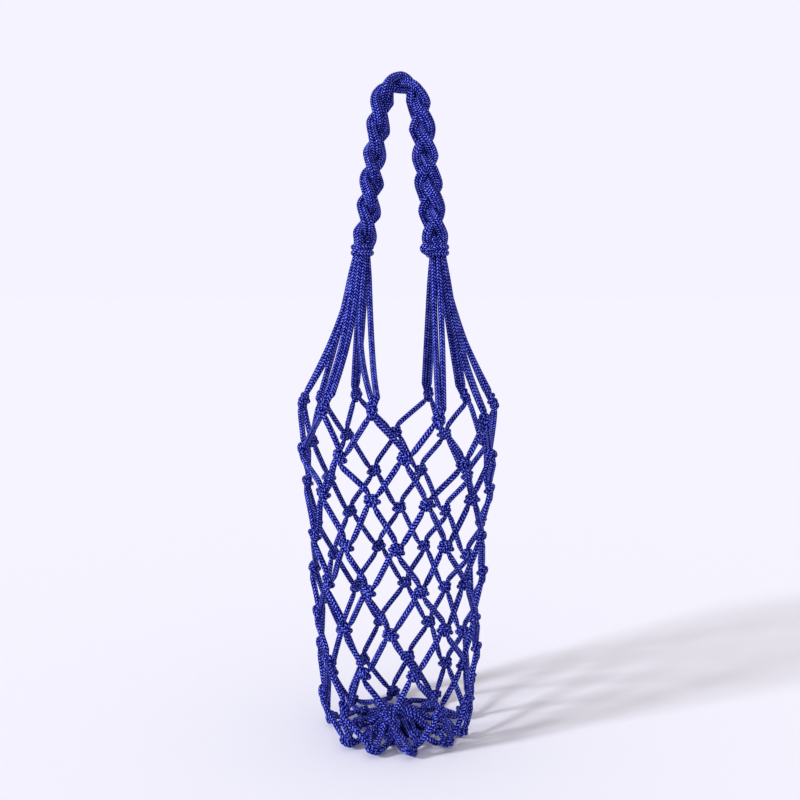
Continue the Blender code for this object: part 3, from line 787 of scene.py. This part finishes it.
def wrap_path(side):
    """The collar's cord, with its two ends tucked under its turns."""
    centre = collar_centre(side)
    points = []
    radii = []
    for angle in np.radians(np.linspace(-TUCK_TURN, WRAP_TURN + TUCK_TURN, WRAP_POINTS)):
        climb = min(max((angle - math.radians(CLIMB_START)) / math.radians(CLIMB_TURN), 0.0), 1.0)
        height = WRAP_PITCH * (smoothstep(climb) - 0.5)
        past_end = (angle - math.radians(WRAP_TURN)) / math.radians(TUCK_TURN)
        tuck = max(0.0, -angle / math.radians(TUCK_TURN), past_end)
        reach = WRAP_RADIUS - TUCK_DEPTH * tuck * tuck
        points.append(centre + np.array((reach * math.sin(angle), -reach * math.cos(angle), height)))
        radii.append(WRAP_CORD * (1 - TUCK_THINNING * tuck))
    return np.array(points), np.array(radii)


def single_overhand():
    """A tight overhand knot in one cord, which lies along Z."""
    paths = loose_overhand(END_KNOT_SCALE, LOOSE_DEPTH, END_KNOT_CORNERS, 0.0, END_KNOT_LOOSE_POINTS,
                           RIGHT_HANDED)[:1]
    for size in np.linspace(*END_KNOT_CONTACTS, END_KNOT_STAGES):
        paths = np.array([resample(paths[0], END_KNOT_POINTS)])
        radii = np.full(paths.shape[:2], size)
        paths = relax(paths[None], radii, held_ends(radii.shape), END_KNOT_PASSES, STEADY_PULL,
                      neighbours(paths, size))[0]
    return about_core(paths[0])


def end_knot_path():
    """The small knot at the end of the right collar's cord, with both its ends tucked into the collar."""
    collar = collar_centre(1)
    along = unit(END_KNOT_ALONG)
    away = unit(np.array((END_KNOT_PLACE[0], END_KNOT_PLACE[1], 0.0)))
    across = unit(np.cross(along, away))
    basis = np.stack([across, np.cross(along, across), along], axis=1)
    core = END_KNOT_SHARE * knot_core(single_overhand(), END_KNOT_REACH)
    core = core @ basis.T + (collar + END_KNOT_PLACE)
    first = collar + END_KNOT_FROM
    last = collar + END_KNOT_TO
    if np.linalg.norm(core[0] - first) > np.linalg.norm(core[-1] - first):
        core = core[::-1]
    lead = hermite(first, unit(core[0] - first), core[0], unit(core[2] - core[0]), SHORT_LINK_POINTS)
    tail = hermite(core[-1], unit(core[-1] - core[-3]), last, unit(last - core[-1]), SHORT_LINK_POINTS)
    path = np.vstack([first, lead, core, tail, last])
    return path, np.full(len(path), END_KNOT_CORD)


# Tubes

TUBE_SIDES = 12
TUBE_STEP = 0.8
STEEP = 0.9
# The braid is drawn long in the net and the legs, which carry the load, and less in the handle
PLAIT_FINENESS = 1.36
BRAID_START_REACH = 500

braid_starts = np.random.default_rng(5)


def ring_normals(ahead):
    """A direction across the cord at each of its points, carried along it without a twist."""
    normal = UPRIGHT if abs(ahead[0][2]) < STEEP else np.array((1.0, 0.0, 0.0))
    normals = []
    for along in ahead:
        normal = unit(normal - np.dot(normal, along) * along)
        normals.append(normal)
    return np.array(normals)


def tube_faces(count, run, closed):
    """The faces between the rings of a tube and over its open ends, and the braid map at their corners."""
    faces = []
    uvs = []
    for i in range(count if closed else count - 1):
        here = i * TUBE_SIDES
        there = ((i + 1) % count) * TUBE_SIDES
        for k in range(TUBE_SIDES):
            n = (k + 1) % TUBE_SIDES
            faces.append((here + k, here + n, there + n, there + k))
            low, high = k / TUBE_SIDES, (k + 1) / TUBE_SIDES
            uvs += [(low, run[i]), (high, run[i]), (high, run[i + 1]), (low, run[i + 1])]
    if not closed:
        faces.append(tuple(reversed(range(TUBE_SIDES))))
        faces.append(tuple(range((count - 1) * TUBE_SIDES, count * TUBE_SIDES)))
        uvs += [(k / TUBE_SIDES, run[0]) for k in reversed(range(TUBE_SIDES))]
        uvs += [(k / TUBE_SIDES, run[-1]) for k in range(TUBE_SIDES)]
    return faces, uvs


def cord_object(name, verts, faces, uvs, material):
    mesh = bpy.data.meshes.new(name)
    mesh.from_pydata([tuple(v) for v in verts], [], faces)
    layer = mesh.uv_layers.new(name="braid")
    layer.data.foreach_set("uv", np.array(uvs, np.float32).reshape(-1))
    mesh.materials.append(material)
    mesh.shade_smooth()
    obj = bpy.data.objects.new(name, mesh)
    bpy.context.scene.collection.objects.link(obj)
    return obj


def tube(name, path, radius, material, closed=False, fineness=1.0):
    """A cord as a mesh: even rings along the path, with a map of the turn round it and the run along it."""
    if closed:
        centres, sizes = path, radius
        ahead = np.roll(centres, -1, axis=0) - np.roll(centres, 1, axis=0)
    else:
        centres, sizes = resample_by_step(path, radius, TUBE_STEP)
        ahead = np.gradient(centres, axis=0)
    ahead /= np.linalg.norm(ahead, axis=1)[:, None]
    normals = ring_normals(ahead)
    across = np.cross(ahead, normals)
    turn = np.arange(TUBE_SIDES) * 2 * math.pi / TUBE_SIDES
    ring = normals[:, None] * np.cos(turn)[None, :, None] + across[:, None] * np.sin(turn)[None, :, None]
    verts = centres[:, None] + ring * sizes[:, None, None]
    # The bag stands on the ground, and no cord reaches below it
    verts[..., 2] = np.maximum(verts[..., 2], 0.0)
    run = run_lengths(centres)
    if closed:
        run = np.append(run, run[-1] + np.linalg.norm(centres[0] - centres[-1]))
    run = fineness * (run + braid_starts.uniform(0, BRAID_START_REACH))
    faces, uvs = tube_faces(len(centres), run, closed)
    return cord_object(name, verts.reshape(-1, 3) * MM, faces, uvs, material)


# Cord material

# Grains round the cord, the length of one in millimetres, and how far it leans in shares of that
BRAID_COLUMNS = 6.0
BRAID_PITCH = 1.7
BRAID_SLANT = 0.68
GRAIN_SHARPNESS = 1.5
COLUMN_SHARPNESS = 0.4
GLINT_RANGE = 0.45
GLINT_LEAST = 0.8
# Colours by the value of the grain pattern: painted shade in the gaps between the grains, the yarn's own
# blue on their flanks, and a painted highlight on their crests
GAP_SHADE = 0.2
GAP_PAINTED_SHADE = (0.0, 0.0, 0.04, 1.0)
FLANK_SHADE = 0.55
FLANK_COLOUR = (0.003, 0.006, 0.27, 1.0)
CREST_SHADE = 0.95
CREST_PAINTED_HIGHLIGHT = (0.20, 0.24, 1.0, 1.0)
YARN_METALLIC = 0.4
YARN_TINT = (0.15, 0.2, 1.0, 1.0)
YARN_SPECULAR = 0.1
YARN_ROUGHNESS = 0.35
GRAIN_BUMP = 0.0004


def math_node(nodes, links, operation, a, b=None, clamp=False):
    node = nodes.new("ShaderNodeMath")
    node.operation = operation
    node.use_clamp = clamp
    for socket, value in zip(node.inputs, (a, b)):
        if value is None:
            continue
        if isinstance(value, (int, float)):
            socket.default_value = value
        else:
            links.new(value, socket)
    return node.outputs[0]


def braided_cord():
    """Round braid in royal blue polyester: columns of slanting grains that lean left and right in turn."""
    material = bpy.data.materials.new("braided_cord")
    material.use_nodes = True
    nodes, links = material.node_tree.nodes, material.node_tree.links
    shader = nodes["Principled BSDF"]
    uv = nodes.new("ShaderNodeUVMap")
    uv.uv_map = "braid"
    split = nodes.new("ShaderNodeSeparateXYZ")
    links.new(uv.outputs["UV"], split.inputs[0])

    def m(operation, a, b=None):
        return math_node(nodes, links, operation, a, b)

    place = m("ADD", m("MULTIPLY", split.outputs["X"], BRAID_COLUMNS), 0.5)
    column = m("FLOOR", place)
    inside = m("FRACT", place)
    lean = m("SUBTRACT", m("MULTIPLY", m("MODULO", column, 2.0), 2.0), 1.0)
    shift = m("MULTIPLY", m("MULTIPLY", inside, lean), BRAID_SLANT)
    slanted = m("ADD", m("DIVIDE", split.outputs["Y"], BRAID_PITCH), shift)
    stripe = m("SINE", m("MULTIPLY", m("FRACT", slanted), math.pi))
    edge = m("SINE", m("MULTIPLY", inside, math.pi))
    grain = m("MULTIPLY", m("POWER", stripe, GRAIN_SHARPNESS), m("POWER", edge, COLUMN_SHARPNESS))

    # Each grain of the braid gets a random brightness of its own, which scatters painted glints over the
    # crests
    cell = nodes.new("ShaderNodeCombineXYZ")
    links.new(column, cell.inputs["X"])
    links.new(m("FLOOR", slanted), cell.inputs["Y"])
    glint_noise = nodes.new("ShaderNodeTexWhiteNoise")
    glint_noise.noise_dimensions = "3D"
    links.new(cell.outputs["Vector"], glint_noise.inputs["Vector"])
    measure = m("ADD", m("MULTIPLY", glint_noise.outputs["Value"], GLINT_RANGE), GLINT_LEAST)
    shade = m("MULTIPLY", grain, measure)

    ramp = nodes.new("ShaderNodeValToRGB")
    # Painted shade in the gaps between the grains
    ramp.color_ramp.elements[0].position = GAP_SHADE
    ramp.color_ramp.elements[0].color = GAP_PAINTED_SHADE
    # Painted highlight on the crests of the grains
    ramp.color_ramp.elements[1].position = CREST_SHADE
    ramp.color_ramp.elements[1].color = CREST_PAINTED_HIGHLIGHT
    flank = ramp.color_ramp.elements.new(FLANK_SHADE)
    flank.color = FLANK_COLOUR
    links.new(shade, ramp.inputs["Fac"])
    links.new(ramp.outputs["Color"], shader.inputs["Base Color"])
    # Silky yarn: its gloss takes the colour of the yarn
    shader.inputs["Metallic"].default_value = YARN_METALLIC
    shader.inputs["Specular Tint"].default_value = YARN_TINT
    shader.inputs["Specular IOR Level"].default_value = YARN_SPECULAR
    shader.inputs["Roughness"].default_value = YARN_ROUGHNESS

    bump = nodes.new("ShaderNodeBump")
    bump.inputs["Strength"].default_value = 1.0
    bump.inputs["Distance"].default_value = GRAIN_BUMP
    links.new(grain, bump.inputs["Height"])
    links.new(bump.outputs["Normal"], shader.inputs["Normal"])
    return material


# The object

cord = braided_cord()

for index, (path, radius) in enumerate(strand_paths()):
    obj = tube(f"strand_{index + 1:02d}", path, radius, cord)
    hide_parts(f"net_cord_{index + 1:02d}")
    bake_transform(obj)

for index, (path, radius) in enumerate(plait_paths()):
    obj = tube(f"plait_cord_{index + 1:02d}", path, radius, cord, fineness=PLAIT_FINENESS)
    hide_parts(f"handle_cord_{index + 1:02d}")
    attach(obj, "handle")

for side, name in ((-1, "left"), (1, "right")):
    path, radius = wrap_path(side)
    obj = tube(f"{name}_collar", path, radius, cord, fineness=PLAIT_FINENESS)
    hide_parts(f"{name}_wrap")
    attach(obj, "handle")

path, radius = end_knot_path()
bead = tube("collar_end_knot", path, radius, cord)
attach(bead, "handle")

path, radius = ring_path()
ring = tube("foot_ring", path, radius, cord, closed=True)
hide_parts("base_ring")
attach(ring, "net")


# Studio: a wide pale floor that meets a background of its own colour, a low sun from the front left

FLOOR_COLOUR = (0.937, 0.905, 1.0, 1.0)
FLOOR_REACH = 30.0
SUN_ENERGY = 2.70
SUN_WIDTH = math.radians(9)
SUN_COLOUR = (0.893, 0.961, 1.0)
SUN_SIDE = (-0.87, -0.45)
SUN_ELEVATION = math.radians(27)
SKY_COLOUR = (1.0, 0.982, 0.963, 1.0)
SKY_STRENGTH = 0.628
BACKGROUND_COLOUR = (0.914, 0.896, 1.0, 1.0)
CAMERA_PLACE = (0.0008, -0.489, 0.231)
# Degrees below the level
CAMERA_DROP = 6.46
CAMERA_LENS = 43.11
CAMERA_SENSOR = 36.0


def floor_material():
    material = bpy.data.materials.new("studio_paper")
    material.use_nodes = True
    shader = material.node_tree.nodes["Principled BSDF"]
    shader.inputs["Base Color"].default_value = FLOOR_COLOUR
    shader.inputs["Roughness"].default_value = 1.0
    shader.inputs["Specular IOR Level"].default_value = 0.0
    return material


def studio_floor():
    corners = [(-FLOOR_REACH, -FLOOR_REACH, 0.0), (FLOOR_REACH, -FLOOR_REACH, 0.0),
               (FLOOR_REACH, FLOOR_REACH, 0.0), (-FLOOR_REACH, FLOOR_REACH, 0.0)]
    mesh = bpy.data.meshes.new("studio_floor")
    mesh.from_pydata(corners, [], [(0, 1, 2, 3)])
    mesh.materials.append(floor_material())
    obj = bpy.data.objects.new("studio_floor", mesh)
    bpy.context.scene.collection.objects.link(obj)


def studio_sun():
    sun_data = bpy.data.lights.new("key", "SUN")
    sun_data.energy = SUN_ENERGY
    sun_data.angle = SUN_WIDTH
    sun_data.color = SUN_COLOUR
    sun = bpy.data.objects.new("key", sun_data)
    sun_from = Vector((*SUN_SIDE, math.tan(SUN_ELEVATION)))
    sun.rotation_euler = sun_from.to_track_quat("Z", "Y").to_euler()
    bpy.context.scene.collection.objects.link(sun)


def studio_world():
    """An even sky that lights the bag, and a plain background wherever the world itself is seen."""
    world = bpy.data.worlds.new("studio")
    bpy.context.scene.world = world
    world.use_nodes = True
    nodes, links = world.node_tree.nodes, world.node_tree.links
    sky = nodes["Background"]
    sky.inputs["Color"].default_value = SKY_COLOUR
    sky.inputs["Strength"].default_value = SKY_STRENGTH
    backdrop = nodes.new("ShaderNodeBackground")
    backdrop.inputs["Color"].default_value = BACKGROUND_COLOUR
    backdrop.inputs["Strength"].default_value = 1.0
    seen = nodes.new("ShaderNodeLightPath")
    seen_at_all = seen.outputs["Is Camera Ray"]
    for ray in ("Is Glossy Ray", "Is Transmission Ray"):
        seen_at_all = math_node(nodes, links, "ADD", seen_at_all, seen.outputs[ray], clamp=True)
    mix = nodes.new("ShaderNodeMixShader")
    links.new(seen_at_all, mix.inputs["Fac"])
    links.new(sky.outputs["Background"], mix.inputs[1])
    links.new(backdrop.outputs["Background"], mix.inputs[2])
    links.new(mix.outputs["Shader"], nodes["World Output"].inputs["Surface"])


studio_floor()
studio_sun()
studio_world()

camera_data = bpy.data.cameras.new("camera")
camera_data.lens = CAMERA_LENS
camera_data.sensor_width = CAMERA_SENSOR
camera = bpy.data.objects.new("camera", camera_data)
camera.location = CAMERA_PLACE
camera.rotation_euler = (math.radians(90 - CAMERA_DROP), 0.0, 0.0)
bpy.context.scene.collection.objects.link(camera)
bpy.context.scene.camera = camera
bpy.context.scene.view_settings.view_transform = "Standard"
